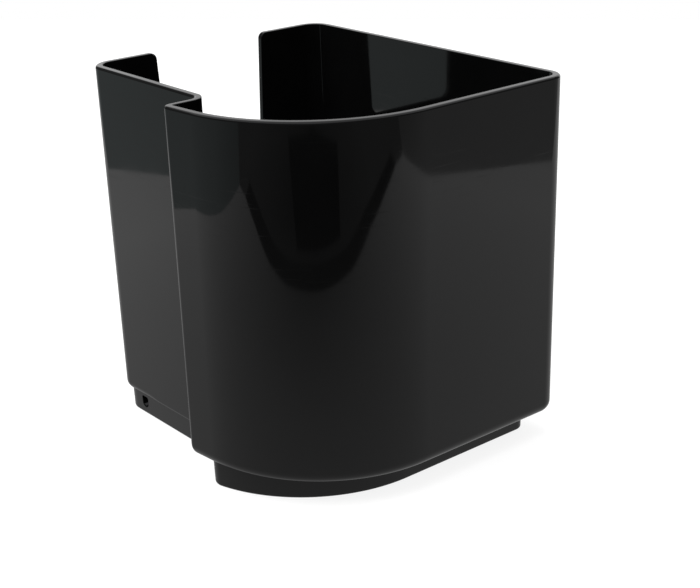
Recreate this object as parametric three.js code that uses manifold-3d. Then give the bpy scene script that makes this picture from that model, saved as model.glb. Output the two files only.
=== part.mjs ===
// Coffee grounds bin: the lift-out container that catches spent pucks in a bean-to-cup machine.
// One thin-walled plastic moulding, open at the top. Its front left is one big round corner, its
// left wall steps in behind that, its rear wall has a deep notch, and it stands on a stepped-in foot.
//
// Millimetres, +X to the right seen from the front, +Y to the rear, +Z up.
// The origin is on the surface that the bin stands on, under the middle of its outer box.

import Module from "manifold-3d";
import * as THREE from "three";
import * as BufferGeometryUtils from "three/addons/utils/BufferGeometryUtils.js";

// ---- driving dimensions ----------------------------------------------------------------------

const WIDTH = 112;
const DEPTH = 128;
const HEIGHT = 125;
const WALL = 2.5;

const NARROWING = 13.5; // how far the left wall steps in behind the front left corner
const JOG_Y = -3; // where it steps in
const FRONT_CORNER_R = 51.7;
const SIDE_TURN = 5; // degrees that the short side wall turns out towards the jog
const SIDE_SPREAD = 0.74; // how much further out it reaches there than the front corner does
const REAR_CORNER_R = 8;
const RIGHT_CORNER_R = 7;
const JOG_OUTER_R = 3;
const JOG_INNER_R = 3.5;
const RIM_EDGE = 0.4; // rounding of the rim's two edges

// How far each wall leans in per millimetre of depth below the rim. The corners tighten as they go down.
const LEAN = { left: 0.002, jog: 0, side: 0.002, front: 0.0175, right: 0.002, rear: 0.01 };
const CORNER_LEAN = 0.004;

const FOOT_HEIGHT = 8.1;
const FOOT_LEAN = 0.022;
const FOOT_EDGE_R = 0.8;
const FOOT = { left: -41.15, jog: -9.1, side: -54.1, front: -52.45, right: 50.2, rear: 60.4 };
const FOOT_RADII = { rearLeft: 7.4, jogInner: 3, jogOuter: 5.2, front: 49.7, right: 4.3, rearRight: 7 };

// The shell's lower edge is round, except along the left wall, where the foot is almost flush. The
// rounding runs out between two places along the depth, and from there to the rear the edge is lower.
const LOWER_EDGE_R = 4.2;
const FLUSH_SHARE = 0.095; // how much of its radius the edge keeps there
const RUN_OUT = { from: 46, to: 36 };
const REAR_DROP = 0.8;

const FLOOR_R = 2.5; // fillet between the cavity's walls and its floors

const NOTCH = { left: -16.2, right: 28.4, sill: 85, taper: 0.045, topR: 2.4, sillR: 4 };
const SLOT = { y: 47.4, radius: 1.85, bottom: 2.6, top: 7 };

const SHARPEST_R = 0.3;
const ARC_STEPS = { small: 6, large: 28 };
const FILLET_STEPS = 5;
const OVERSHOOT = 2; // how far a cutter reaches past the faces that it cuts
const OVERLAP = 3.5; // how far two joined solids reach into each other

// ---- plan outlines ---------------------------------------------------------------------------

const RIM = {
  left: -WIDTH / 2 + NARROWING,
  jog: JOG_Y,
  side: -WIDTH / 2 + SIDE_SPREAD,
  front: -DEPTH / 2,
  right: WIDTH / 2,
  rear: DEPTH / 2,
};

const RIM_RADII = {
  rearLeft: REAR_CORNER_R,
  jogInner: JOG_INNER_R,
  jogOuter: JOG_OUTER_R,
  front: FRONT_CORNER_R,
  right: RIGHT_CORNER_R,
  rearRight: REAR_CORNER_R,
};

// Which way each wall moves when the outline shrinks.
const INWARD = { left: 1, jog: -1, side: 1, front: 1, right: -1, rear: -1 };

function shrinkPlan(plan, inset) {
  const shrunk = {};
  for (const wall of Object.keys(plan)) {
    const distance = typeof inset === "number" ? inset : inset[wall];
    shrunk[wall] = plan[wall] + INWARD[wall] * distance;
  }
  return shrunk;
}

function shrinkRadii(radii, inset) {
  const shrunk = {};
  for (const corner of Object.keys(radii)) {
    const sign = corner === "jogInner" ? 1 : -1;
    shrunk[corner] = Math.max(radii[corner] + sign * inset, SHARPEST_R);
  }
  return shrunk;
}

// An arc of the outline. Its outward normal turns from one angle to the other, in degrees. A hollow
// corner has its centre outside the outline.
function addArc(points, x, y, radius, fromAngle, toAngle, steps, hollow) {
  const reach = hollow ? -radius : radius;
  for (let i = 0; i <= steps; i++) {
    const angle = THREE.MathUtils.degToRad(THREE.MathUtils.lerp(fromAngle, toAngle, i / steps));
    points.push(new THREE.Vector2(x + reach * Math.cos(angle), y + reach * Math.sin(angle)));
  }
}

// The short side wall between the jog's outer corner and the big front corner touches both arcs. Where
// there is no room for it, the two arcs touch each other.
function addFrontCorner(points, plan, radii) {
  const big = { x: plan.side + radii.front, y: plan.front + radii.front };
  const small = { y: plan.jog - radii.jogOuter };
  const reach = radii.front - radii.jogOuter;
  const rise = big.y - small.y;
  const turn = Math.max(THREE.MathUtils.degToRad(SIDE_TURN), Math.asin(rise / reach));
  small.x = big.x - (reach - rise * Math.sin(turn)) / Math.cos(turn);
  const tangent = 180 + THREE.MathUtils.radToDeg(turn);
  addArc(points, small.x, small.y, radii.jogOuter, 90, tangent, ARC_STEPS.small, false);
  addArc(points, big.x, big.y, radii.front, tangent, 270, ARC_STEPS.large, false);
}

// Points along a side wall, where the lower edge changes.
function addStations(points, x, fromY, toY) {
  for (let i = 0; i <= ARC_STEPS.small; i++) {
    points.push(new THREE.Vector2(x, THREE.MathUtils.lerp(fromY, toY, i / ARC_STEPS.small)));
  }
}

// The outline's points, anticlockwise from the rear wall's left end.
function outline(plan, radii) {
  const points = [];
  const { left, jog, front, right, rear } = plan;
  const steps = ARC_STEPS.small;
  const { rearLeft, jogInner, rearRight } = radii;
  addArc(points, left + rearLeft, rear - rearLeft, rearLeft, 90, 180, steps, false);
  addStations(points, left, RUN_OUT.from, RUN_OUT.to);
  addArc(points, left - jogInner, jog + jogInner, jogInner, 180, 90, steps, true);
  addFrontCorner(points, plan, radii);
  addArc(points, right - radii.right, front + radii.right, radii.right, 270, 360, steps, false);
  addStations(points, right, RUN_OUT.to, RUN_OUT.from);
  addArc(points, right - rearRight, rear - rearRight, rearRight, 0, 90, steps, false);
  return points;
}

// The shell's outline at a height, shrunk by the walls' lean and by a further inset.
function shellOutline(z, inset) {
  const depth = HEIGHT - z;
  const total = {};
  for (const wall of Object.keys(LEAN)) {
    total[wall] = LEAN[wall] * depth + inset;
  }
  return outline(shrinkPlan(RIM, total), shrinkRadii(RIM_RADII, CORNER_LEAN * depth + inset));
}

// The foot's outline at a height. The foot widens a little upwards.
function footOutline(z, inset) {
  const total = inset - FOOT_LEAN * z;
  return outline(shrinkPlan(FOOT, total), shrinkRadii(FOOT_RADII, total));
}

function ring(points, z) {
  return points.map((p) => new THREE.Vector3(p.x, p.y, z));
}

// ---- solids ----------------------------------------------------------------------------------

// A closed solid through a stack of rings that all have the same number of points.
function loft(rings) {
  const count = rings[0].length;
  const positions = [];
  for (const level of rings) {
    for (const p of level) {
      positions.push(p.x, p.y, p.z);
    }
  }
  const index = [];
  for (let level = 0; level + 1 < rings.length; level++) {
    for (let i = 0; i < count; i++) {
      const j = (i + 1) % count;
      const low = level * count;
      const high = low + count;
      index.push(low + i, low + j, high + j);
      index.push(low + i, high + j, high + i);
    }
  }
  addCap(index, rings[0], 0, true);
  addCap(index, rings.at(-1), (rings.length - 1) * count, false);
  const geometry = new THREE.BufferGeometry();
  geometry.setAttribute("position", new THREE.Float32BufferAttribute(positions, 3));
  geometry.setIndex(index);
  return geometry;
}

function addCap(index, level, offset, facesDown) {
  const contour = level.map((p) => new THREE.Vector2(p.x, p.y));
  for (const [a, b, c] of THREE.ShapeUtils.triangulateShape(contour, [])) {
    index.push(offset + a, offset + (facesDown ? c : b), offset + (facesDown ? b : c));
  }
}

// How round the shell's lower edge is at a point of its outline, from FLUSH_SHARE to 1: it sharpens
// along the left wall behind the jog, and grows round again along the jog itself.
function lowerEdgeShare(point) {
  const { smoothstep, lerp } = THREE.MathUtils;
  const roundness = Math.max(
    smoothstep(point.y, RUN_OUT.to, RUN_OUT.from),
    smoothstep(RIM.left - point.x, 0, NARROWING / 2),
    smoothstep(point.x - RIM.left, WALL, 2 * WALL),
    smoothstep(RIM.jog - point.y, 0, JOG_OUTER_R),
  );
  return lerp(FLUSH_SHARE, 1, roundness);
}

function rearDrop(point) {
  return REAR_DROP * THREE.MathUtils.smoothstep(point.y, RUN_OUT.to, RUN_OUT.from);
}

// The rings of the foot or of its hollow, with a rounded lower edge, up into the shell.
function footRings(bottom, inset, radius) {
  const rings = [];
  for (let i = 0; i <= FILLET_STEPS; i++) {
    const angle = (Math.PI / 2) * (1 - i / FILLET_STEPS);
    const z = bottom + radius * (1 - Math.sin(angle));
    rings.push(ring(footOutline(z, inset + radius * (1 - Math.cos(angle))), z));
  }
  const top = bottom + FOOT_HEIGHT + OVERLAP;
  rings.push(ring(footOutline(top, inset), top));
  return rings;
}

// The rings of the shell or of its hollow, from a flat ledge at height z, that starts well inside the
// foot, through the rounded lower edge up to just under the rim.
function shellRings(z, inset, radius) {
  const ledge = footOutline(z, inset + OVERLAP);
  const wall = shellOutline(z, inset);
  const rings = [ledge.map((point) => new THREE.Vector3(point.x, point.y, z - rearDrop(point)))];
  for (let i = 0; i <= FILLET_STEPS; i++) {
    const angle = (Math.PI / 2) * (1 - i / FILLET_STEPS);
    const shrunk = shellOutline(z, inset + radius * (1 - Math.cos(angle)));
    const rise = radius * (1 - Math.sin(angle));
    const level = wall.map((point, k) => {
      const share = lowerEdgeShare(point);
      const x = THREE.MathUtils.lerp(point.x, shrunk[k].x, share);
      const y = THREE.MathUtils.lerp(point.y, shrunk[k].y, share);
      return new THREE.Vector3(x, y, z - rearDrop(point) + share * rise);
    });
    rings.push(level);
  }
  rings.push(ring(shellOutline(HEIGHT - RIM_EDGE, inset), HEIGHT - RIM_EDGE));
  return rings;
}

function outerLofts() {
  const shell = shellRings(FOOT_HEIGHT, 0, LOWER_EDGE_R);
  shell.push(ring(shellOutline(HEIGHT, RIM_EDGE), HEIGHT));
  return [loft(footRings(0, 0, FOOT_EDGE_R)), loft(shell)];
}

// The cavity follows the outside at one wall thickness, so its floor has a sunk middle over the foot.
function cavityLofts() {
  const shell = shellRings(FOOT_HEIGHT + WALL, WALL, FLOOR_R);
  shell.push(ring(shellOutline(HEIGHT, WALL - RIM_EDGE), HEIGHT));
  shell.push(ring(shellOutline(HEIGHT, WALL - RIM_EDGE), HEIGHT + OVERSHOOT));
  return [loft(footRings(WALL, WALL, FLOOR_R)), loft(shell)];
}

// The notch narrows a little towards its sill. Its upper ends roll over onto the rim.
function notchCutter() {
  const { left, right, sill, taper, topR, sillR } = NOTCH;
  const drop = HEIGHT - topR - sill;
  const lowLeft = left + taper * drop;
  const lowRight = right - taper * drop;
  const shape = new THREE.Shape();
  shape.moveTo(left - topR, HEIGHT + OVERSHOOT);
  shape.lineTo(left - topR, HEIGHT);
  shape.absarc(left - topR, HEIGHT - topR, topR, Math.PI / 2, 0, true);
  shape.lineTo(lowLeft, sill + sillR);
  shape.absarc(lowLeft + sillR, sill + sillR, sillR, Math.PI, 1.5 * Math.PI, false);
  shape.lineTo(lowRight - sillR, sill);
  shape.absarc(lowRight - sillR, sill + sillR, sillR, 1.5 * Math.PI, 2 * Math.PI, false);
  shape.lineTo(right, HEIGHT - topR);
  shape.absarc(right + topR, HEIGHT - topR, topR, Math.PI, Math.PI / 2, true);
  shape.lineTo(right + topR, HEIGHT + OVERSHOOT);
  const reach = WALL + REAR_CORNER_R;
  const geometry = new THREE.ExtrudeGeometry(shape, { depth: reach, bevelEnabled: false, curveSegments: 6 });
  geometry.rotateX(Math.PI / 2);
  geometry.translate(0, RIM.rear + OVERSHOOT, 0);
  return geometry;
}

// A small upright slot with a round lower end, through the foot's left wall at floor level.
function slotCutter() {
  const { y, radius, bottom, top } = SLOT;
  const shape = new THREE.Shape();
  shape.moveTo(y + radius, top);
  shape.lineTo(y - radius, top);
  shape.lineTo(y - radius, bottom + radius);
  shape.absarc(y, bottom + radius, radius, Math.PI, 2 * Math.PI, false);
  shape.closePath();
  const depth = WALL + 2 * OVERSHOOT;
  const geometry = new THREE.ExtrudeGeometry(shape, { depth, bevelEnabled: false, curveSegments: 8 });
  geometry.rotateX(Math.PI / 2);
  geometry.rotateZ(Math.PI / 2);
  geometry.translate(FOOT.left - OVERSHOOT, 0, 0);
  return geometry;
}

// ---- booleans --------------------------------------------------------------------------------

const wasm = await Module();
wasm.setup();

function toSolid(geometry) {
  geometry.deleteAttribute("normal");
  geometry.deleteAttribute("uv");
  const merged = BufferGeometryUtils.mergeVertices(geometry, 1e-4);
  return new wasm.Manifold(
    new wasm.Mesh({
      numProp: 3,
      vertProperties: new Float32Array(merged.attributes.position.array),
      triVerts: new Uint32Array(merged.index.array),
    }),
  );
}

function toGeometry(solid) {
  const mesh = solid.getMesh();
  const geometry = new THREE.BufferGeometry();
  geometry.setAttribute("position", new THREE.BufferAttribute(mesh.vertProperties, 3));
  geometry.setIndex(new THREE.BufferAttribute(mesh.triVerts, 1));
  geometry.computeVertexNormals();
  return geometry;
}

// ---- the moulding ----------------------------------------------------------------------------

const glossBlack = new THREE.MeshStandardMaterial({ color: 0x0c0c0d, roughness: 0.12, metalness: 0 });

function makeBin() {
  const [foot, shell] = outerLofts().map(toSolid);
  const cutters = [...cavityLofts(), notchCutter(), slotCutter()].map(toSolid);
  const moulding = cutters.reduce((solid, cutter) => solid.subtract(cutter), foot.add(shell));
  const mesh = new THREE.Mesh(toGeometry(moulding), glossBlack);
  mesh.name = "grounds_bin";
  return mesh;
}

const groundsContainer = new THREE.Group();
groundsContainer.add(makeBin());

export default groundsContainer;
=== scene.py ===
"""Gloss-black moulded grounds bin on a plain pale table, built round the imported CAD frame."""

import math

import bpy
import numpy as np
from mathutils import Matrix, Vector


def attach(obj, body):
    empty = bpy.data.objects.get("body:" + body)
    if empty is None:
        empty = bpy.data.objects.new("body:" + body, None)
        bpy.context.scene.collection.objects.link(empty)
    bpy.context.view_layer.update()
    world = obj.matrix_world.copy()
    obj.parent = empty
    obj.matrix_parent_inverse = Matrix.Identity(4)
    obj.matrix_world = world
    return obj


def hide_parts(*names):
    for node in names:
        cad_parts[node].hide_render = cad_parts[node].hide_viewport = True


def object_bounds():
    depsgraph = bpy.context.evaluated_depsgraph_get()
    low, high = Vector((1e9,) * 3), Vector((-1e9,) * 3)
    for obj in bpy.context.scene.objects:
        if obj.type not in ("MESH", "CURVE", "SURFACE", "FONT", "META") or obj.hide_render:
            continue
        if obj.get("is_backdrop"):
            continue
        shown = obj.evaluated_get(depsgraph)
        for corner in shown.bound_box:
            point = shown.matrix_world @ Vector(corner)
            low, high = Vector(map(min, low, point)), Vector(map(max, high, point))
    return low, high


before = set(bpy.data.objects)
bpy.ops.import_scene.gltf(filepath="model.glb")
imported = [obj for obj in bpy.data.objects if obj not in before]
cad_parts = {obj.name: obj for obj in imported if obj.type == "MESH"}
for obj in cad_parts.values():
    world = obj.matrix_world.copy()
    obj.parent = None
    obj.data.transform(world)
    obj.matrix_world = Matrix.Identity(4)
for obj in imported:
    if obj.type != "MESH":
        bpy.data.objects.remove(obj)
CAD_LOW, CAD_HIGH = (Vector(corner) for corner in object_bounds())

# ---- dimensions of the moulding, in millimetres ------------------------------------------------

MM = 0.001
LOW, HIGH = CAD_LOW / MM, CAD_HIGH / MM
HEIGHT = HIGH.z
WALL = 2.5
NARROWING = 13.5  # how far the left wall steps in behind the big front corner
SIDE_TURN = math.radians(5)  # how far the short side wall turns out towards the jog
SIDE_SPREAD = 0.74  # how much further out it reaches there than the front corner does
RIM = {
    "left": LOW.x + NARROWING,
    "jog": -3,
    "side": LOW.x + SIDE_SPREAD,
    "front": LOW.y,
    "right": HIGH.x,
    "rear": HIGH.y,
}
RIM_RADII = {
    "rear_left": 8,
    "jog_inner": 3.5,
    "jog_outer": 3,
    "front": 51.7,
    "right": 7,
    "rear_right": 8,
}
RIM_OUTER_R = 0.9
RIM_INNER_R = 0.25

# How far each wall leans in per millimetre of depth below the rim.
LEAN = {"left": 0.002, "jog": 0, "side": 0.002, "front": 0.0175, "right": 0.002, "rear": 0.01}
CORNER_LEAN = 0.004

FOOT_HEIGHT = 8.1
FOOT_LEAN = 0.022
FOOT_EDGE_R = 0.8
FOOT = {"left": -41.15, "jog": -9.1, "side": -54.1, "front": -52.45, "right": 50.2, "rear": 60.4}
FOOT_RADII = {
    "rear_left": 7.4,
    "jog_inner": 3,
    "jog_outer": 5.2,
    "front": 49.7,
    "right": 4.3,
    "rear_right": 7,
}

LOWER_EDGE_R = 4.2  # the shell's rounded lower edge
REAR_EDGE_R = 3.2  # and the same edge behind the run-out
FLUSH_SHARE = 0.24  # how much of that radius is left where the foot is flush
FLUSH_END = 2.5
RUN_OUT = (36, 46)  # from here to here, along the depth, the edge rounds off again
REAR_DROP = 1.25  # and sits this much lower behind that
FLOOR_R = 2.5

NOTCH = {"left": -16.2, "right": 28.4, "sill": 85, "taper": 0.045, "top_r": 2.4, "sill_r": 4}
SLOT = {"y": 47.4, "radius": 1.85, "bottom": 2.6, "top": 6.75, "top_r": 0.6, "edge_r": 0.2}
SLOT_LIP_ANGLE = math.radians(12)  # the angle at which the slot's rounded edge meets the wall
SLOT_CLEARANCE = 0.06  # how far outside the wall the cut starts

SHARPEST_R = 0.3
ARC_STEPS = (16, 48, 16, 150, 14, 16)  # one number for each corner, from the rear left one
SPACING = 1.0
FINE_ARC_STEPS = (100, 60, 80, 900, 80, 100)
FINE_SPACING = 0.1
WALL_ROWS = 10  # rings down the wall
BISECTIONS = 7  # halvings that find where the foot meets the rounded edge
SPREADS = 60  # smoothing passes over the ledge's points at the foot's hollow corner
EDGE_STEPS = 12
DEPTH_STEPS = 4 * EDGE_STEPS
FOOT_STEPS = 6
RIM_STEPS = 6
OWN_NORMAL = 0.1  # face corners whose normal agrees less than this with the face's are the cut's

# ---- plan outlines -----------------------------------------------------------------------------

INWARD = {"left": 1, "jog": -1, "side": 1, "front": 1, "right": -1, "rear": -1}


def shrunk(plan, radii, insets, radius_inset):
    plan = {wall: place + INWARD[wall] * insets[wall] for wall, place in plan.items()}
    radii = {
        corner: max(r + (radius_inset if corner == "jog_inner" else -radius_inset), SHARPEST_R)
        for corner, r in radii.items()
    }
    return plan, radii


def corner_arcs(plan, radii):
    """Each corner as centre x, centre y, radius, and the angles that its outward side turns
    between. A hollow corner has a negative radius. The short side wall is the straight line that
    touches both the jog's outer corner and the big one."""
    big_x, big_y = plan["side"] + radii["front"], plan["front"] + radii["front"]
    small_y = plan["jog"] - radii["jog_outer"]
    reach, rise = radii["front"] - radii["jog_outer"], big_y - small_y
    turn = max(SIDE_TURN, math.asin(rise / reach))
    small_x = big_x - (reach - rise * math.sin(turn)) / math.cos(turn)
    tangent = 180 + math.degrees(turn)
    rl, ji, rr, fr = (radii[c] for c in ("rear_left", "jog_inner", "rear_right", "right"))
    return np.array(
        [
            (plan["left"] + rl, plan["rear"] - rl, rl, 90, 180),
            (plan["left"] - ji, plan["jog"] + ji, -ji, 180, 90),
            (small_x, small_y, radii["jog_outer"], 90, tangent),
            (big_x, big_y, radii["front"], tangent, 270),
            (plan["right"] - fr, plan["front"] + fr, fr, 270, 360),
            (plan["right"] - rr, plan["rear"] - rr, rr, 360, 450),
        ]
    )


CORNERS = len(RIM_RADII)
JOG_INNER = list(RIM_RADII).index("jog_inner")


def outline(plan, radii, stations):
    """Points and outward directions at stations: corner, share of its arc, and share of the
    straight run after it."""
    arcs = corner_arcs(plan, radii)
    corner = stations[:, 0].astype(int)

    def on_arc(corner, share):
        x, y, r, start, end = arcs[corner].T
        angle = np.radians(start + (end - start) * share)
        facing = np.stack([np.cos(angle), np.sin(angle)], 1)
        return np.stack([x, y], 1) + r[:, None] * facing, facing

    here, facing = on_arc(corner, stations[:, 1])
    ahead, _ = on_arc((corner + 1) % CORNERS, np.zeros(len(corner)))
    return here + stations[:, 2:] * (ahead - here), facing


def make_stations(arc_steps, spacing):
    rows = []
    for corner, steps in enumerate(arc_steps):
        rows += [(corner, i / steps, 0) for i in range(steps + 1)]
        ends = np.array([(corner, 1, 0), ((corner + 1) % CORNERS, 0, 0)], float)
        run = np.linalg.norm(np.diff(outline(RIM, RIM_RADII, ends)[0], axis=0))
        count = max(1, round(run / spacing))
        rows += [(corner, 1, i / count) for i in range(1, count)]
    return np.array(rows, float)


STATIONS = make_stations(ARC_STEPS, SPACING)
FINE = make_stations(FINE_ARC_STEPS, FINE_SPACING)
REAR_START = int(np.flatnonzero((STATIONS[:, 0] == CORNERS - 1) & (STATIONS[:, 1] == 1))[0])


def shell_points(z, inset):
    depth = HEIGHT - z
    insets = {wall: LEAN[wall] * depth + inset for wall in LEAN}
    plan, radii = shrunk(RIM, RIM_RADII, insets, CORNER_LEAN * depth + inset)
    return outline(plan, radii, STATIONS)


def foot_points(z, inset, stations):
    total = inset - FOOT_LEAN * z
    plan, radii = shrunk(FOOT, FOOT_RADII, dict.fromkeys(FOOT, total), total)
    return outline(plan, radii, stations)


def smoothstep(x, start, end):
    share = np.clip((x - start) / (end - start), 0, 1)
    return share * share * (3 - 2 * share)


def unit(v):
    return v / np.linalg.norm(v, axis=-1, keepdims=True)


def with_z(xy, z):
    return np.column_stack([xy, np.broadcast_to(z, len(xy))])


# ---- mesh --------------------------------------------------------------------------------------


class Skin:
    """Faces that share a vertex wherever two of their corners are at one place. Each corner keeps
    its own normal."""

    def __init__(self):
        self.index = {}
        self.corners = []
        self.faces = []
        self.normals = []

    def vertex(self, point):
        key = tuple(round(float(c), 3) + 0.0 for c in point)
        if key not in self.index:
            self.index[key] = len(self.corners)
            self.corners.append(tuple(float(c) for c in point))
        return self.index[key]

    def face(self, points, normals):
        loop = []
        for point, normal in zip(points, normals):
            v = self.vertex(point)
            if not loop or v != loop[-1][0]:
                loop.append((v, normal))
        if len(loop) > 1 and loop[0][0] == loop[-1][0]:
            loop.pop()
        if len(loop) < 3:
            return
        p = np.array([self.corners[v] for v, _ in loop])
        area = np.cross(p, np.roll(p, -1, 0)).sum(0)
        if np.dot(area, np.sum([n for _, n in loop], 0)) < 0:
            loop.reverse()
        self.faces.append([v for v, _ in loop])
        self.normals += [tuple(n) for _, n in loop]

    def grid(self, points, normals, closed):
        """points and normals are rows of rings. The faces turn to where their normals point."""
        rings, count = points.shape[:2]
        for i in range(rings - 1):
            for j in range(count if closed else count - 1):
                k = (j + 1) % count
                ends = [(i, j), (i, k), (i + 1, k), (i + 1, j)]
                self.face([points[e] for e in ends], [normals[e] for e in ends])

    def polygon(self, points, normal):
        self.face(points, [normal] * len(points))

    def mesh(self, name):
        made = bpy.data.meshes.new(name)
        made.from_pydata([Vector(c) * MM for c in self.corners], [], self.faces)
        made.polygons.foreach_set("use_smooth", [True] * len(self.faces))
        facing = made.attributes.new("facing", "FLOAT_VECTOR", "CORNER")
        facing.data.foreach_set("vector", np.array(self.normals, np.float32).ravel())
        return made


def nearest(points, samples):
    apart = ((points[:, None, :] - samples[None, :, :]) ** 2).sum(2)
    return apart.argmin(1)


def lower_edge_share(xy):
    """The share of the lower edge's radius at points of the wall, small where the foot is
    flush."""
    x, y = xy.T
    left, jog = RIM["left"], RIM["jog"]
    roundness = np.max(
        [
            smoothstep(y, *RUN_OUT),
            smoothstep(left - x, 0, NARROWING / 2),
            smoothstep(x - left, WALL, 2 * WALL),
            smoothstep(jog - y, 0, FLUSH_END),
        ],
        axis=0,
    )
    behind = 1 - (1 - REAR_EDGE_R / LOWER_EDGE_R) * smoothstep(y, *RUN_OUT)
    return (FLUSH_SHARE + (1 - FLUSH_SHARE) * roundness) * behind


def add_skin(skin, inset, ledge_z, edge_r, floor_z, foot_r, rim_d, side):
    """The shell's wall, its lower edge, the ledge and the foot at one inset. side is 1 for the
    outside and -1 for the cavity. Returns the rear wall's edge points, from its upper right corner
    down and round to its upper left one, and the wall's normals."""
    base = ledge_z + edge_r
    top, facing = shell_points(HEIGHT, inset)
    bottom, _ = shell_points(0, inset)
    out = np.column_stack([facing, -((top - bottom) * facing).sum(1) / HEIGHT])
    out = unit(out)

    def wall_at(z):
        share_up = np.broadcast_to(z, len(top)) / HEIGHT
        return with_z(bottom + (top - bottom) * share_up[:, None], z)

    start = shell_points(base, inset)[0]
    share = lower_edge_share(start)
    low = ledge_z - REAR_DROP * smoothstep(start[:, 1], *RUN_OUT)
    wall_z = low + share * edge_r
    down = np.array([0, 0, -1.0])
    edge_line = with_z(start, low)
    ahead = np.roll(edge_line, -1, 0) - np.roll(edge_line, 1, 0)
    along = unit(np.column_stack([-facing[:, 1], facing[:, 0], np.zeros(len(facing))]))
    along = unit(along + np.outer(ahead[:, 2] / np.linalg.norm(ahead[:, :2], axis=1), [0, 0, 1]))

    angles = np.linspace(0, math.pi / 2, DEPTH_STEPS + 1)
    depths = edge_r * (1 - np.cos(angles))
    shifts = np.array([shell_points(base, inset + d)[0] - start for d in depths])
    every = np.arange(len(start))

    def edge(angle):
        """The rounded lower edge at an angle for each station: 0 on the wall, a quarter turn on
        the ledge."""
        angle = np.broadcast_to(angle, len(start))
        depth = edge_r * (1 - np.cos(angle))
        i = np.clip(np.searchsorted(depths, depth) - 1, 0, len(depths) - 2)
        part = ((depth - depths[i]) / (depths[i + 1] - depths[i]))[:, None]
        shift = (1 - part) * shifts[i, every] + part * shifts[i + 1, every]
        points = wall_at(wall_z)
        points[:, :2] += share[:, None] * shift
        points[:, 2] = wall_z - share * edge_r * np.sin(angle)
        normals = np.cos(angle)[:, None] * out + np.sin(angle)[:, None] * down
        normals -= (normals * along).sum(1, keepdims=True) * along * np.sin(angle)[:, None]
        return points, unit(normals)

    foot, foot_facing = foot_points(ledge_z, inset, FINE)

    def outside(points):
        """How far points are outside the foot."""
        near = nearest(points[:, :2], foot)
        gap = ((points[:, :2] - foot[near]) * foot_facing[near]).sum(1)
        return gap - FOOT_LEAN * (points[:, 2] - ledge_z)

    # Where the foot is nearly flush it comes up through the rounded edge, which ends there.
    tried = np.linspace(0, math.pi / 2, EDGE_STEPS + 1)
    hidden = np.array([outside(edge(a)[0]) < 0 for a in tried])
    meets = hidden.any(0)
    low_angle = tried[np.maximum(hidden.argmax(0), 1) - 1]
    high_angle = tried[np.maximum(hidden.argmax(0), 1)]
    for _ in range(BISECTIONS):
        middle = (low_angle + high_angle) / 2
        inside = outside(edge(middle)[0]) < 0
        low_angle = np.where(inside, low_angle, middle)
        high_angle = np.where(inside, middle, high_angle)
    cut = np.where(meets, high_angle, math.pi / 2)

    rows, facings = [], []
    for z_share in np.linspace(0, 1, WALL_ROWS):
        rows.append(wall_at((HEIGHT - rim_d) * (1 - z_share) + wall_z * z_share))
        facings.append(out)
    wall = np.array(rows)
    wall[0] = with_z(shell_points(HEIGHT - rim_d, inset)[0], HEIGHT - rim_d)
    skin.grid(wall[:, : REAR_START + 1], side * np.array(facings)[:, : REAR_START + 1], False)

    end = edge(cut)[0]
    near = nearest(end[:, :2], foot)
    near = np.round(np.unwrap(near * 2 * math.pi / len(FINE)) * len(FINE) / (2 * math.pi))
    # The foot's hollow corner is further from the edge than it is round, so its points are spread
    # evenly.
    loose = np.flatnonzero((STATIONS[:, 0] == JOG_INNER) & ~meets)
    for _ in range(SPREADS):
        near[loose] = (near[loose - 1] + near[loose + 1]) / 2
    near = np.maximum.accumulate(np.round(near)).astype(int) % len(FINE)
    chosen = FINE[near]
    floor_xy, foot_out = foot_points(0, inset, chosen)
    foot_normal = unit(np.column_stack([foot_out, np.full(len(foot_out), -FOOT_LEAN)]))
    top_z = np.where(meets, end[:, 2], low)
    foot_top = with_z(floor_xy + FOOT_LEAN * top_z[:, None] * foot_out, 0)
    foot_top[:, 2] = top_z

    rows, facings = [], []
    for i in range(EDGE_STEPS + 1):
        points, normals = edge(cut * (i / EDGE_STEPS))
        rows.append(points)
        facings.append(normals)
    rows[-1] = np.where(meets[:, None], foot_top, rows[-1])
    skin.grid(np.array(rows), side * np.array(facings), True)
    ledge = np.array([rows[-1], foot_top])
    skin.grid(ledge, side * np.broadcast_to(down, ledge.shape), True)

    rows, facings = [foot_top], [foot_normal]
    for i in range(FOOT_STEPS + 1):
        angle = math.pi / 2 * i / FOOT_STEPS
        z = floor_z + foot_r * (1 - math.sin(angle))
        xy, _ = foot_points(z, inset + foot_r * (1 - math.cos(angle)), chosen)
        rows.append(with_z(xy, z))
        facings.append(unit(math.cos(angle) * foot_normal + math.sin(angle) * down))
    skin.grid(np.array(rows), side * np.array(facings), True)
    skin.polygon(rows[-1], side * down)

    bottom_row = np.concatenate([wall[-1, REAR_START:], wall[-1, :1]])
    right_side, left_side = wall[:, REAR_START], wall[::-1, 0]
    return np.concatenate([right_side[:-1], bottom_row, left_side[1:]]), out


def rounded_line(corners, radii, steps):
    """Points of an open line with rounded corners, and the line's direction at each point."""
    points, ways = [np.array(corners[0], float)], []
    for i in range(1, len(corners) - 1):
        here = np.array(corners[i], float)
        before = unit(here - np.array(corners[i - 1], float))
        after = unit(np.array(corners[i + 1], float) - here)
        turn = math.atan2(before[0] * after[1] - before[1] * after[0], before @ after)
        reach = radii[i - 1] * math.tan(abs(turn) / 2)
        side = math.copysign(1, turn)
        centre = here - before * reach + side * radii[i - 1] * np.array([-before[1], before[0]])
        if not ways:
            ways.append(before)
        for k in range(steps + 1):
            a = turn * k / steps
            way = np.array(
                [
                    before[0] * math.cos(a) - before[1] * math.sin(a),
                    before[0] * math.sin(a) + before[1] * math.cos(a),
                ]
            )
            ways.append(way)
            points.append(centre - side * radii[i - 1] * np.array([-way[1], way[0]]))
    points.append(np.array(corners[-1], float))
    ways.append(unit(points[-1] - points[-2]))
    return np.array(points), np.array(ways)


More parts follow.
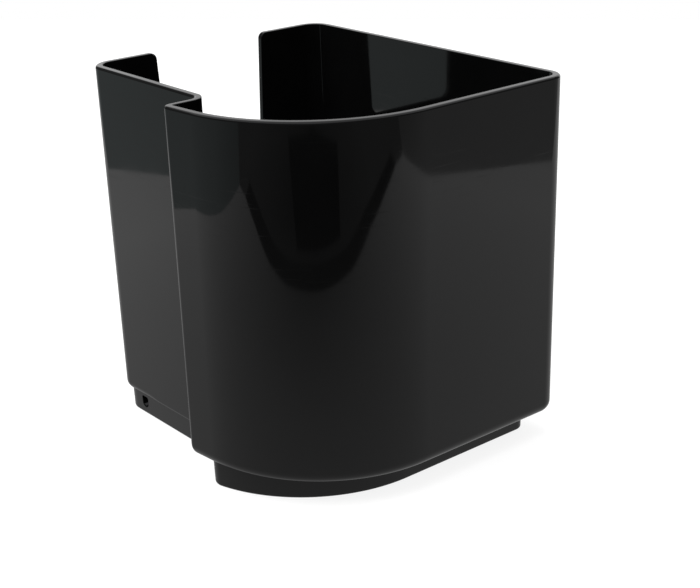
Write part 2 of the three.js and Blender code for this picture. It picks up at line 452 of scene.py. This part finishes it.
def rim_section():
    """The rim's cross-section from the outer face over the top to the inner face: depth below the
    top, distance in from the outer face, and how far its normal leans outwards and upwards."""
    rows = []
    for i in range(RIM_STEPS + 1):
        a = math.pi / 2 * i / RIM_STEPS
        across, upward = math.cos(a), math.sin(a)
        rows.append((RIM_OUTER_R * (1 - upward), RIM_OUTER_R * (1 - across), across, upward))
    for i in range(RIM_STEPS + 1):
        a = math.pi / 2 * (1 - i / RIM_STEPS)
        across, upward = math.cos(a), math.sin(a)
        inset = WALL - RIM_INNER_R * (1 - across)
        rows.append((RIM_INNER_R * (1 - upward), inset, -across, upward))
    return rows


def notch_line():
    left, right, sill, taper, top_r, sill_r = NOTCH.values()
    over, drop = taper * top_r, taper * (HEIGHT - top_r - sill)
    ends = shell_points(HEIGHT, 0)[0][[REAR_START, 0]]
    corners = [
        (ends[0][0], HEIGHT),
        (right + over, HEIGHT),
        (right - drop, sill),
        (left + drop, sill),
        (left - over, HEIGHT),
        (ends[1][0], HEIGHT),
    ]
    return rounded_line(corners, [top_r, sill_r, sill_r, top_r], EDGE_STEPS)


def add_rim(skin, out):
    """The rim and the notch's edge, as one section swept round. Returns the notch's rows on the
    outer and the inner face."""
    line, ways = notch_line()
    line, ways = line[1:-1], ways[1:-1]
    up = np.stack([ways[:, 1], np.zeros(len(ways)), -ways[:, 0]], 1)
    rows, facings = [], []
    rear_out = out[REAR_START]
    for depth, inset, outward, upward in rim_section():
        level = with_z(shell_points(HEIGHT - depth, inset)[0], HEIGHT - depth)[: REAR_START + 1]
        x = line[:, 0] - depth * up[:, 0]
        z = line[:, 1] - depth * up[:, 2]
        y = RIM["rear"] - LEAN["rear"] * (HEIGHT - z) - inset
        rows.append(np.concatenate([level, np.stack([x, y, z], 1)]))
        shell = outward * out[: REAR_START + 1] + upward * np.array([0, 0, 1.0])
        rear = outward * rear_out + upward * up
        facings.append(unit(np.concatenate([shell, rear])))
    skin.grid(np.array(rows), np.array(facings), True)
    return rows[0][REAR_START + 1 :], rows[-1][REAR_START + 1 :]


def bin_mesh():
    skin = Skin()
    outer, out = add_skin(skin, 0, FOOT_HEIGHT, LOWER_EDGE_R, 0, FOOT_EDGE_R, RIM_OUTER_R, 1)
    ledge_z = FOOT_HEIGHT + WALL
    inner, inner_out = add_skin(skin, WALL, ledge_z, FLOOR_R, WALL, FLOOR_R, RIM_INNER_R, -1)
    notch_outer, notch_inner = add_rim(skin, out)
    skin.polygon(np.concatenate([outer, notch_outer[::-1]]), out[REAR_START])
    skin.polygon(np.concatenate([inner, notch_inner[::-1]]), -inner_out[REAR_START])
    return skin.mesh("grounds_bin_moulding")


def slot_ring(x, offset):
    """A section of the slot, which leans with the foot's wall, and the way out of it at each
    point."""
    middle, radius, bottom, top, top_r, _ = SLOT.values()
    rounds = [
        (middle, bottom + radius, radius, 180, 360),
        (middle + radius - top_r, top - top_r, top_r, 0, 90),
        (middle - radius + top_r, top - top_r, top_r, 90, 180),
    ]
    points, outward = [], []
    for y, z, r, start, end in rounds:
        for angle in np.radians(np.linspace(start, end, EDGE_STEPS + 1)):
            way = np.array([0, math.cos(angle), math.sin(angle)])
            point = np.array([x, y, z]) + (r + offset) * way
            point[0] -= FOOT_LEAN * point[2]
            points.append(point)
            outward.append(way)
    return np.array(points), np.array(outward)


def slot_rings():
    """The slot's sections from just outside the wall, over its rounded edge and through, with the
    normals of the cut, which point into the slot."""
    first, edge_r = SLOT_LIP_ANGLE, SLOT["edge_r"]
    flare = (SLOT_CLEARANCE + edge_r * (1 - math.cos(first))) / math.tan(first)
    rings = [(-SLOT_CLEARANCE, edge_r * (1 - math.sin(first)) + flare, first)]
    for a in np.linspace(first, math.pi / 2, FOOT_STEPS + 1):
        rings.append((edge_r * (1 - math.cos(a)), edge_r * (1 - math.sin(a)), a))
    rings.append((WALL + FLOOR_R, 0, math.pi / 2))
    rows, facings = [], []
    for depth, offset, a in rings:
        points, outward = slot_ring(FOOT["left"] + depth, offset)
        rows.append(points)
        facings.append(unit(math.cos(a) * np.array([-1.0, 0, 0]) - math.sin(a) * outward))
    return np.array(rows), np.array(facings)


def cut_slot(moulding):
    """Cuts the slot. The cut's own faces get their normals from the nearest points of its
    sections."""
    rows, facings = slot_rings()
    skin = Skin()
    skin.grid(rows, -facings, True)
    skin.polygon(rows[0], np.array([-1.0, 0, 0]))
    skin.polygon(rows[-1], np.array([1.0, 0, 0]))
    cutter = bpy.data.objects.new("slot_cutter", skin.mesh("slot_cutter"))
    bpy.context.scene.collection.objects.link(cutter)
    cut = moulding.modifiers.new("slot", "BOOLEAN")
    cut.object, cut.operation, cut.solver = cutter, "DIFFERENCE", "EXACT"
    graph = bpy.context.evaluated_depsgraph_get()
    mesh = bpy.data.meshes.new_from_object(moulding.evaluated_get(graph))
    moulding.modifiers.clear()
    moulding.data = mesh
    bpy.data.objects.remove(cutter)
    facing = np.zeros(len(mesh.loops) * 3, np.float32)
    mesh.attributes["facing"].data.foreach_get("vector", facing)
    mesh.attributes.remove(mesh.attributes["facing"])
    facing = facing.reshape(-1, 3)
    for polygon in mesh.polygons:
        for i in polygon.loop_indices:
            if facing[i] @ polygon.normal < OWN_NORMAL:
                place = np.array(mesh.vertices[mesh.loops[i].vertex_index].co) / MM
                apart = ((rows - place) ** 2).sum(2)
                facing[i] = facings[np.unravel_index(apart.argmin(), apart.shape)]
    mesh.normals_split_custom_set(unit(facing))


def make_bin():
    moulding = bpy.data.objects.new("grounds_bin_moulding", bin_mesh())
    bpy.context.scene.collection.objects.link(moulding)
    cut_slot(moulding)
    return moulding


# ---- finish ------------------------------------------------------------------------------------

SLOT_NAME = "gloss_black_plastic"

# Noise scales are per metre, and depths are in metres.
WAVE_SCALE, WAVE_DETAIL, WAVE_DEPTH = 22, 1.5, 0.00006
SKIN_SCALE, SKIN_DETAIL, SKIN_DEPTH = 900, 2, 0.0000008
HAIR_STRETCH, HAIR_TURN = (40, 40, 2600), (0.25, 0.1, 0.6)
HAIR_DETAIL, HAIR_DEPTH = 3, 0.0000015
HAIR_FROM, HAIR_TO = 0.66, 0.72  # the part of the noise that shows as hairlines
HAIR_ROUGHNESS = 0.05
HAZE_SCALE, HAZE_DETAIL, HAZE_BREAKUP = 45, 5, 0.6
HAZE_FROM, HAZE_TO = 0.35, 0.75
SMOOTH, HAZY = 0.035, 0.075  # roughness of clean and of handled plastic
CLEAN_TONE = (0.0014, 0.0014, 0.0015, 1)
HAZY_TONE = (0.0046, 0.0047, 0.0047, 1)
PLASTIC_IOR = 1.5


def new_material(name):
    material = bpy.data.materials.new(name)
    material.use_nodes = True
    nodes, links = material.node_tree.nodes, material.node_tree.links
    return material, nodes, links, nodes["Principled BSDF"]


def add_noise(nodes, links, place, scale, detail, roughness=0.5):
    noise = nodes.new("ShaderNodeTexNoise")
    noise.inputs["Scale"].default_value = scale
    noise.inputs["Detail"].default_value = detail
    noise.inputs["Roughness"].default_value = roughness
    links.new(place, noise.inputs["Vector"])
    return noise.outputs["Fac"]


def spread(nodes, links, value, from_low, from_high, to_low, to_high):
    ramp = nodes.new("ShaderNodeMapRange")
    ramp.inputs["From Min"].default_value = from_low
    ramp.inputs["From Max"].default_value = from_high
    ramp.inputs["To Min"].default_value = to_low
    ramp.inputs["To Max"].default_value = to_high
    links.new(value, ramp.inputs["Value"])
    return ramp.outputs["Result"]


def add_bump(nodes, links, height, distance, below=None):
    bump = nodes.new("ShaderNodeBump")
    bump.inputs["Strength"].default_value = 1
    bump.inputs["Distance"].default_value = distance
    links.new(height, bump.inputs["Height"])
    if below is not None:
        links.new(below, bump.inputs["Normal"])
    return bump.outputs["Normal"]


def gloss_black():
    """Polished moulded plastic: wide sink waves from the mould, a fine skin, hairline scratches and
    handling haze."""
    material, nodes, links, shader = new_material(SLOT_NAME)
    place = nodes.new("ShaderNodeTexCoord").outputs["Object"]

    wave = add_noise(nodes, links, place, WAVE_SCALE, WAVE_DETAIL)
    skin = add_noise(nodes, links, place, SKIN_SCALE, SKIN_DETAIL)
    scratch_place = nodes.new("ShaderNodeMapping")
    scratch_place.inputs["Scale"].default_value = HAIR_STRETCH
    scratch_place.inputs["Rotation"].default_value = HAIR_TURN
    links.new(place, scratch_place.inputs["Vector"])
    hairs = add_noise(nodes, links, scratch_place.outputs["Vector"], 1, HAIR_DETAIL)
    hairline = spread(nodes, links, hairs, HAIR_FROM, HAIR_TO, 0, 1)

    haze = add_noise(nodes, links, place, HAZE_SCALE, HAZE_DETAIL, HAZE_BREAKUP)
    base = spread(nodes, links, haze, HAZE_FROM, HAZE_TO, SMOOTH, HAZY)
    rough = nodes.new("ShaderNodeMath")
    rough.operation = "MULTIPLY_ADD"
    links.new(hairline, rough.inputs[0])
    rough.inputs[1].default_value = HAIR_ROUGHNESS
    links.new(base, rough.inputs[2])
    links.new(rough.outputs[0], shader.inputs["Roughness"])

    tone = nodes.new("ShaderNodeMix")
    tone.data_type = "RGBA"
    tone.inputs["A"].default_value = CLEAN_TONE
    tone.inputs["B"].default_value = HAZY_TONE
    links.new(haze, tone.inputs["Factor"])
    links.new(tone.outputs["Result"], shader.inputs["Base Color"])

    normal = add_bump(nodes, links, wave, WAVE_DEPTH)
    normal = add_bump(nodes, links, skin, SKIN_DEPTH, normal)
    normal = add_bump(nodes, links, hairline, HAIR_DEPTH, normal)
    links.new(normal, shader.inputs["Normal"])
    shader.inputs["IOR"].default_value = PLASTIC_IOR
    return material


# ---- camera ------------------------------------------------------------------------------------

CAMERA_AT = (-0.280343, -0.369705, 0.229971)
AZIMUTH, ELEVATION, ROLL = (math.radians(a) for a in (-38.7467, 21.4437, -1.9873))
LENS = 75.23
SENSOR = 36
CLIP_START, CLIP_END = 0.01, 20


def add_camera():
    back = Vector(
        (
            math.sin(AZIMUTH) * math.cos(ELEVATION),
            -math.cos(AZIMUTH) * math.cos(ELEVATION),
            math.sin(ELEVATION),
        )
    )
    right = Vector((math.cos(AZIMUTH), math.sin(AZIMUTH), 0))
    up = back.cross(right)
    turned = math.cos(ROLL) * right + math.sin(ROLL) * up
    raised = -math.sin(ROLL) * right + math.cos(ROLL) * up
    facing = Matrix((turned, raised, back)).transposed().to_4x4()
    data = bpy.data.cameras.new("camera")
    data.lens, data.sensor_width, data.sensor_fit = LENS, SENSOR, "HORIZONTAL"
    data.clip_start, data.clip_end = CLIP_START, CLIP_END
    camera = bpy.data.objects.new("camera", data)
    camera.matrix_world = Matrix.Translation(CAMERA_AT) @ facing
    bpy.context.scene.collection.objects.link(camera)
    bpy.context.scene.camera = camera


# ---- studio, in metres -------------------------------------------------------------------------

# The table's outline on the floor plane, as points round it from the left rear.
TABLE_LEFT = ((0.15, 0.94), (-0.195, 0.327), (-0.248, 0.209), (-0.319, 0.083), (-0.378, -0.001))
TABLE_FRONT = (
    (-0.358, -0.027),
    (-0.313, -0.058),
    (-0.252, -0.091),
    (-0.211, -0.122),
    (-0.175, -0.160),
    (-0.135, -0.199),
    (-0.085, -0.246),
    (-0.04, -0.307),
    (0.015, -0.353),
    (0.073, -0.389),
)
TABLE_RIGHT = ((0.112, -0.397), (0.163, -0.35), (0.214, -0.294), (0.274, -0.271), (0.95, 0.01))
TABLE_GAP = 0.0001  # how far the table lies under the foot
FAR = 1.2  # how far the floor beyond the table reaches

# A dark sheet on the floor in front, which is a painted shadow, and a dark band along the table's
# front edge, which is painted shade.
PAINTED_SHADOW = ((-0.387, -0.253), (-0.227, -0.173), (-0.133, -0.267), (-0.2, -0.4), (-0.32, -0.36))
PAINTED_SHADOW_LIFT = 0.001
EDGE_SHADE_BAND = 0.022  # how far the band reaches, in x and in y
EDGE_SHADE_LIFT = 0.0005
BACKDROP_HEIGHT = 0.9
CEILING_HEIGHT = 1.1

# The table as the camera sees it. It glows, painted light that washes out most of the bin's contact
# shadow on it.
TABLE_ALBEDO = 0.2
TABLE_GLOW = 0.88
TABLE_ROUGHNESS = 0.9
GRAIN_SCALE, GRAIN_DETAIL = 60, 4
GRAIN_LOW, GRAIN_HIGH = 0.96, 1.04

# What the moulding reflects. A fade has a centre, a reach, and the tones at the centre and there.
# The table's and the front floor's fades are darkest at a spot in front of the bin, which is
# painted shade.
FADES = {
    "table": ((-0.2, -0.2, 0), 0.42, 0.1, 0.62),
    "floor_left": ((-0.5, -0.2, 0), 0.35, 0.1, 0.29),
    "floor_front": ((-0.27, -0.27, 0), 0.26, 0.04, 0.125),
    "floor_right": ((0.05, -0.6, 0), 0.3, 0.12, 0.27),
    "backdrop": ((0.42, 0.53, 0.4), 0.25, 0.5, 1.0),
}
WHITE = (1, 1, 1)
COOL = (0.9, 1, 1)
# Tones of the painted shade along the table's edge and of the painted shadow on the floor in front.
EDGE_SHADE_TONE = (0.05, 0.05, 0.05)
PAINTED_SHADOW_TONE = (0.028, 0.028, 0.028)
CEILING_TONE = (0.65, 0.65, 0.66)
ROOM_TONE = (0.1, 0.1, 0.1)

OVERHEAD_AT = (-0.15, 0.2, 1.0)
OVERHEAD_AIM = (0, 0.05, 0)
OVERHEAD_SIZE = 1.4
OVERHEAD_POWER = 30


def fade(nodes, links, centre, reach, near, far):
    """A tone that goes from near to far with the distance from a point of the studio."""
    apart = nodes.new("ShaderNodeVectorMath")
    apart.operation = "DISTANCE"
    links.new(nodes.new("ShaderNodeTexCoord").outputs["Object"], apart.inputs[0])
    apart.inputs[1].default_value = centre
    return spread(nodes, links, apart.outputs["Value"], 0, reach, near, far)


def table_white():
    """A matt white table that glows: painted light that keeps it white to the camera with only a
    faint contact shadow. In what the moulding reflects its glow dims towards a spot in front, which
    is painted shade."""
    material, nodes, links, shader = new_material("table_white")
    place = nodes.new("ShaderNodeTexCoord").outputs["Object"]
    noise = add_noise(nodes, links, place, GRAIN_SCALE, GRAIN_DETAIL)
    grain = spread(nodes, links, noise, 0, 1, GRAIN_LOW, GRAIN_HIGH)
    seen = nodes.new("ShaderNodeLightPath").outputs["Is Camera Ray"]
    albedo = nodes.new("ShaderNodeMath")
    albedo.operation = "MULTIPLY"
    links.new(spread(nodes, links, seen, 0, 1, 0, TABLE_ALBEDO), albedo.inputs[0])
    links.new(grain, albedo.inputs[1])
    links.new(albedo.outputs[0], shader.inputs["Base Color"])
    # The glow: to the camera an even painted light over the shadow, in reflections a fade that is
    # darkest at a spot in front, painted shade.
    tone = nodes.new("ShaderNodeMix")
    links.new(seen, tone.inputs["Factor"])
    links.new(fade(nodes, links, *FADES["table"]), tone.inputs["A"])
    tone.inputs["B"].default_value = TABLE_GLOW
    links.new(tone.outputs["Result"], shader.inputs["Emission Strength"])
    shader.inputs["Emission Color"].default_value = (*WHITE, 1)
    shader.inputs["Roughness"].default_value = TABLE_ROUGHNESS
    shader.inputs["Specular IOR Level"].default_value = 0
    # From below the table is clear, so that the moulding's underside can be seen.
    clear = nodes.new("ShaderNodeBsdfTransparent")
    sides = nodes.new("ShaderNodeMixShader")
    links.new(nodes.new("ShaderNodeNewGeometry").outputs["Backfacing"], sides.inputs["Fac"])
    links.new(shader.outputs[0], sides.inputs[1])
    links.new(clear.outputs[0], sides.inputs[2])
    links.new(sides.outputs[0], nodes["Material Output"].inputs["Surface"])
    return material


def glow(name, tone):
    """A card of one tone, which gives light."""
    material = bpy.data.materials.new(name)
    material.use_nodes = True
    nodes, links = material.node_tree.nodes, material.node_tree.links
    nodes.remove(nodes["Principled BSDF"])
    emission = nodes.new("ShaderNodeEmission")
    emission.inputs["Color"].default_value = (*tone, 1)
    links.new(emission.outputs[0], nodes["Material Output"].inputs["Surface"])
    return material


def fading_glow(name, tone=WHITE):
    """A card whose light follows the fade of its name."""
    material = glow(name, tone)
    nodes, links = material.node_tree.nodes, material.node_tree.links
    strength = next(node for node in nodes if node.type == "EMISSION").inputs["Strength"]
    links.new(fade(nodes, links, *FADES[name]), strength)
    return material


def add_sheet(name, corners, material, seen=False):
    """A flat sheet of the studio: the table, or a card that only shows in reflections."""
    data = bpy.data.meshes.new(name)
    data.from_pydata(corners, [], [tuple(range(len(corners)))])
    data.materials.append(material)
    sheet = bpy.data.objects.new(name, data)
    sheet.visible_camera = seen
    bpy.context.scene.collection.objects.link(sheet)
    sheet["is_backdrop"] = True


def upright(start, end, low, high):
    return [(*start, low), (*end, low), (*end, high), (*start, high)]


def flat(points, z=0):
    return [(x, y, z) for x, y in points]


def add_studio():
    """The table, the floor beyond its left, front and right sides, the dark band and patch of
    painted shade and painted shadow, a backdrop behind the table and a ceiling."""
    table = flat(TABLE_LEFT + TABLE_FRONT + TABLE_RIGHT, -TABLE_GAP)
    add_sheet("table", table, table_white(), True)

    left_corner, right_corner = TABLE_LEFT[-1], TABLE_RIGHT[0]
    far_left, far_front = (-FAR, left_corner[1]), (right_corner[0], -FAR)
    left = ((-FAR, TABLE_LEFT[0][1]), *TABLE_LEFT, far_left)
    front = (far_left, left_corner, *TABLE_FRONT, right_corner, far_front, (-FAR, -FAR))
    right = (*TABLE_RIGHT, (TABLE_RIGHT[-1][0], -FAR), far_front)
    add_sheet("floor_left", flat(left), fading_glow("floor_left", COOL))
    add_sheet("floor_front", flat(front), fading_glow("floor_front"))
    add_sheet("floor_right", flat(right), fading_glow("floor_right"))

    # A dark band of painted shade along the table's front edge, and a dark sheet of painted shadow
    # in front.
    edge = (*TABLE_FRONT, *((x - EDGE_SHADE_BAND, y - EDGE_SHADE_BAND) for x, y in reversed(TABLE_FRONT)))
    add_sheet("edge_shade_band", flat(edge, EDGE_SHADE_LIFT), glow("edge_shade_band", EDGE_SHADE_TONE))
    add_sheet("painted_shadow_patch", flat(PAINTED_SHADOW, PAINTED_SHADOW_LIFT), glow("painted_shadow_patch", PAINTED_SHADOW_TONE))

    behind = upright(TABLE_LEFT[0], TABLE_RIGHT[-1], 0, BACKDROP_HEIGHT)
    add_sheet("backdrop", behind, fading_glow("backdrop"))
    above = ((-FAR, -FAR), (FAR, -FAR), (FAR, FAR), (-FAR, FAR))
    add_sheet("ceiling", flat(above, CEILING_HEIGHT), glow("ceiling", CEILING_TONE))


def add_light(name, place, target, size, power):
    """A square light, which doesn't show in reflections."""
    data = bpy.data.lights.new(name, "AREA")
    data.shape, data.size, data.size_y, data.energy = "RECTANGLE", size, size, power
    light = bpy.data.objects.new(name, data)
    light.location = place
    light.rotation_mode = "QUATERNION"
    light.rotation_quaternion = (Vector(target) - Vector(place)).to_track_quat("-Z", "Y")
    light.visible_glossy = False
    bpy.context.scene.collection.objects.link(light)


def add_room():
    """White to the camera, and a dark room in what the moulding reflects."""
    world = bpy.data.worlds.new("room")
    bpy.context.scene.world = world
    world.use_nodes = True
    nodes, links = world.node_tree.nodes, world.node_tree.links
    seen = nodes.new("ShaderNodeLightPath").outputs["Is Camera Ray"]
    tone = nodes.new("ShaderNodeMix")
    tone.data_type = "RGBA"
    tone.inputs["A"].default_value = (*ROOM_TONE, 1)
    tone.inputs["B"].default_value = (*WHITE, 1)
    links.new(seen, tone.inputs["Factor"])
    links.new(tone.outputs["Result"], nodes["Background"].inputs["Color"])


add_camera()
moulding = make_bin()
moulding.data.materials.clear()
moulding.data.materials.append(gloss_black())
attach(moulding, "root")
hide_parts("grounds_bin")
add_studio()
add_light("overhead", OVERHEAD_AT, OVERHEAD_AIM, OVERHEAD_SIZE, OVERHEAD_POWER)
add_room()
bpy.context.scene.view_settings.view_transform = "Standard"
